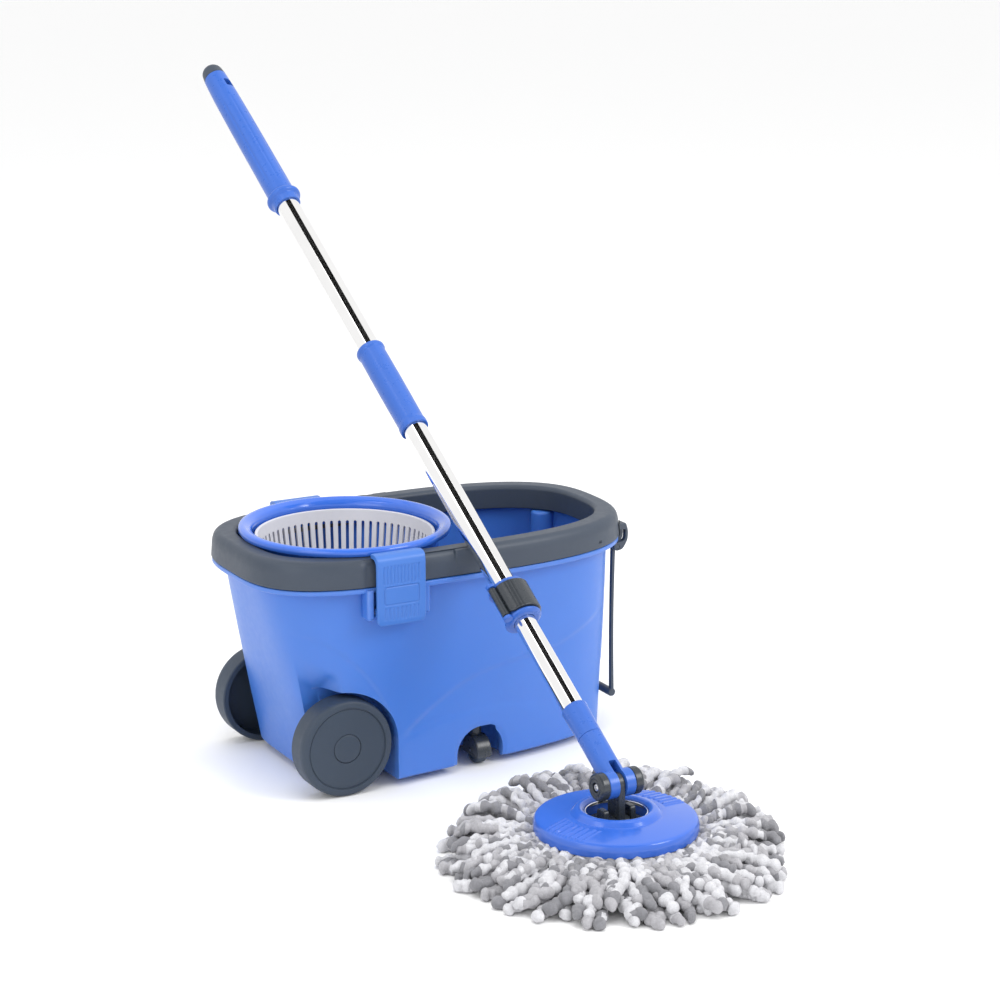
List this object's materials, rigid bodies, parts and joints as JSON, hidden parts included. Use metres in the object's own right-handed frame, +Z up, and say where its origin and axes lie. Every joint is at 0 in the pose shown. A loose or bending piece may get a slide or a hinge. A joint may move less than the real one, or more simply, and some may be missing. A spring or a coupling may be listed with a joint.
{
  "type": "spin mop with bucket",
  "caption": "Spin mop set: wheeled oval bucket with wringing basket, rim clips and pull handle, and a disc mop on a jointed tube handle leaning on the rim.",
  "frame": {"origin": "on the floor, under the middle of the whole set", "axes": "+Z up, X along the bucket with the basket at -X, the mop standing at -Y and its handle leaning towards +Y"},
  "size_m": [0.438, 1.0566, 0.6832],
  "materials": {
    "blue_plastic": "smooth moulded blue polypropylene",
    "dark_plastic": "dark slate moulded plastic, satin",
    "basket_plastic": "pale grey moulded plastic",
    "white_plastic": "plain off-white bearing plastic",
    "chrome": "polished tube",
    "steel": "plain bright steel pins and screws",
    "yarn": "looped microfibre yarn, white and grey"
  },
  "bodies": {
    "bucket": {"bucket_body": "blue_plastic", "rim_band": "dark_plastic", "splash_ring": "blue_plastic", "basket_spindle": "steel", "latch_pin_front": "steel", "latch_pin_rear": "steel", "wheel_axle_front": "steel", "wheel_axle_rear": "steel", "handle_bracket_front": "dark_plastic", "handle_bracket_rear": "dark_plastic", "handle_pin_front": "steel", "handle_pin_rear": "steel"},
    "basket": {"spin_basket": "basket_plastic", "basket_bush": "white_plastic", "basket_cone": "basket_plastic"},
    "big_wheel_front": {"wheel_front": "dark_plastic", "wheel_cap_front": "dark_plastic"},
    "big_wheel_rear": {"wheel_rear": "dark_plastic", "wheel_cap_rear": "dark_plastic"},
    "swivel_front": {"caster_fork_front": "dark_plastic", "caster_axle_front": "steel", "caster_stem_front": "steel"},
    "swivel_rear": {"caster_fork_rear": "dark_plastic", "caster_axle_rear": "steel", "caster_stem_rear": "steel"},
    "small_wheel_front": {"caster_wheel_front": "dark_plastic"},
    "small_wheel_rear": {"caster_wheel_rear": "dark_plastic"},
    "clip_front": {"latch_front": "blue_plastic"},
    "clip_rear": {"latch_rear": "blue_plastic"},
    "tow_handle": {"pull_handle": "dark_plastic"},
    "mop_head": {"yarn_head": "yarn", "refill_ring": "white_plastic", "mop_plate": "blue_plastic", "plate_trim": "chrome", "plate_hub": "dark_plastic"},
    "lower_handle": {"fork_yoke": "blue_plastic", "fork_pin": "steel", "fork_cap_left": "dark_plastic", "fork_cap_right": "dark_plastic", "cap_screw_left": "steel", "cap_screw_right": "steel", "socket_sleeve": "blue_plastic", "lower_tube": "chrome", "guide_bush": "white_plastic"},
    "nut": {"drive_nut": "white_plastic"},
    "upper_handle": {"middle_tube": "chrome", "twisted_rod": "steel", "rod_anchor": "dark_plastic", "clamp_collar": "blue_plastic", "lever_pin": "steel", "mid_grip": "blue_plastic", "tube_joiner": "dark_plastic", "upper_tube": "chrome", "top_grip": "blue_plastic", "end_cap": "dark_plastic"},
    "lever": {"clamp_lever": "dark_plastic"}
  },
  "joints": [
    {"name": "basket_spin", "type": "hinge", "parent": "bucket", "child": "basket", "pos_m": [-0.0883, 0.0328, 0], "axis": [0, 0, 1], "continuous": true},
    {"name": "big_wheel_front_roll", "type": "hinge", "parent": "bucket", "child": "big_wheel_front", "pos_m": [-0.1421, -0.0803, 0.0513], "axis": [0, 1, 0], "continuous": true},
    {"name": "swivel_front_turn", "type": "hinge", "parent": "bucket", "child": "swivel_front", "pos_m": [0.0225, -0.0452, 0], "axis": [0, 0, 1], "continuous": true},
    {"name": "small_wheel_front_roll", "type": "hinge", "parent": "swivel_front", "child": "small_wheel_front", "pos_m": [0.0225, -0.0512, 0.014], "axis": [1, 0, 0], "continuous": true},
    {"name": "clip_front_open", "type": "hinge", "parent": "bucket", "child": "clip_front", "pos_m": [-0.0883, -0.0877, 0.194], "axis": [1, 0, 0], "range_deg": [0, 50]},
    {"name": "big_wheel_rear_roll", "type": "hinge", "parent": "bucket", "child": "big_wheel_rear", "pos_m": [-0.1421, 0.1459, 0.0513], "axis": [0, 1, 0], "continuous": true},
    {"name": "swivel_rear_turn", "type": "hinge", "parent": "bucket", "child": "swivel_rear", "pos_m": [0.0225, 0.1108, 0], "axis": [0, 0, 1], "continuous": true},
    {"name": "small_wheel_rear_roll", "type": "hinge", "parent": "swivel_rear", "child": "small_wheel_rear", "pos_m": [0.0225, 0.1168, 0.014], "axis": [1, 0, 0], "continuous": true},
    {"name": "clip_rear_open", "type": "hinge", "parent": "bucket", "child": "clip_rear", "pos_m": [-0.0883, 0.1533, 0.194], "axis": [-1, 0, 0], "range_deg": [0, 50]},
    {"name": "tow_handle_swing", "type": "hinge", "parent": "bucket", "child": "tow_handle", "pos_m": [0.20149, 0.0328, 0.2085], "axis": [0, -1, 0], "range_deg": [0, 110]},
    {"name": "mop_lift", "type": "slide", "parent": "bucket", "child": "mop_head", "axis": [0, 0, 1], "range_m": [0, 0.35]},
    {"name": "mop_tilt", "type": "hinge", "parent": "mop_head", "child": "lower_handle", "pos_m": [0.0064, -0.3614, 0.0794], "axis": [0.9996, 0.028, 0], "range_deg": [0, 115]},
    {"name": "handle_stroke", "type": "slide", "parent": "lower_handle", "child": "upper_handle", "axis": [-0.0232, 0.829, 0.5588], "range_m": [-0.105, 0]},
    {"name": "nut_spin", "type": "hinge", "parent": "lower_handle", "child": "nut", "pos_m": [0.0064, -0.3614, 0.0794], "axis": [-0.0232, 0.829, 0.5588], "range_deg": [0, 425]},
    {"name": "lever_open", "type": "hinge", "parent": "upper_handle", "child": "lever", "pos_m": [-0.01433, -0.36623, 0.0857], "axis": [0.0232, -0.829, -0.5588], "range_deg": [0, 100]}
  ],
  "couplings": [
    {"joint": "nut_spin", "follows": "handle_stroke", "rad_per_m": -69.813}
  ]
}
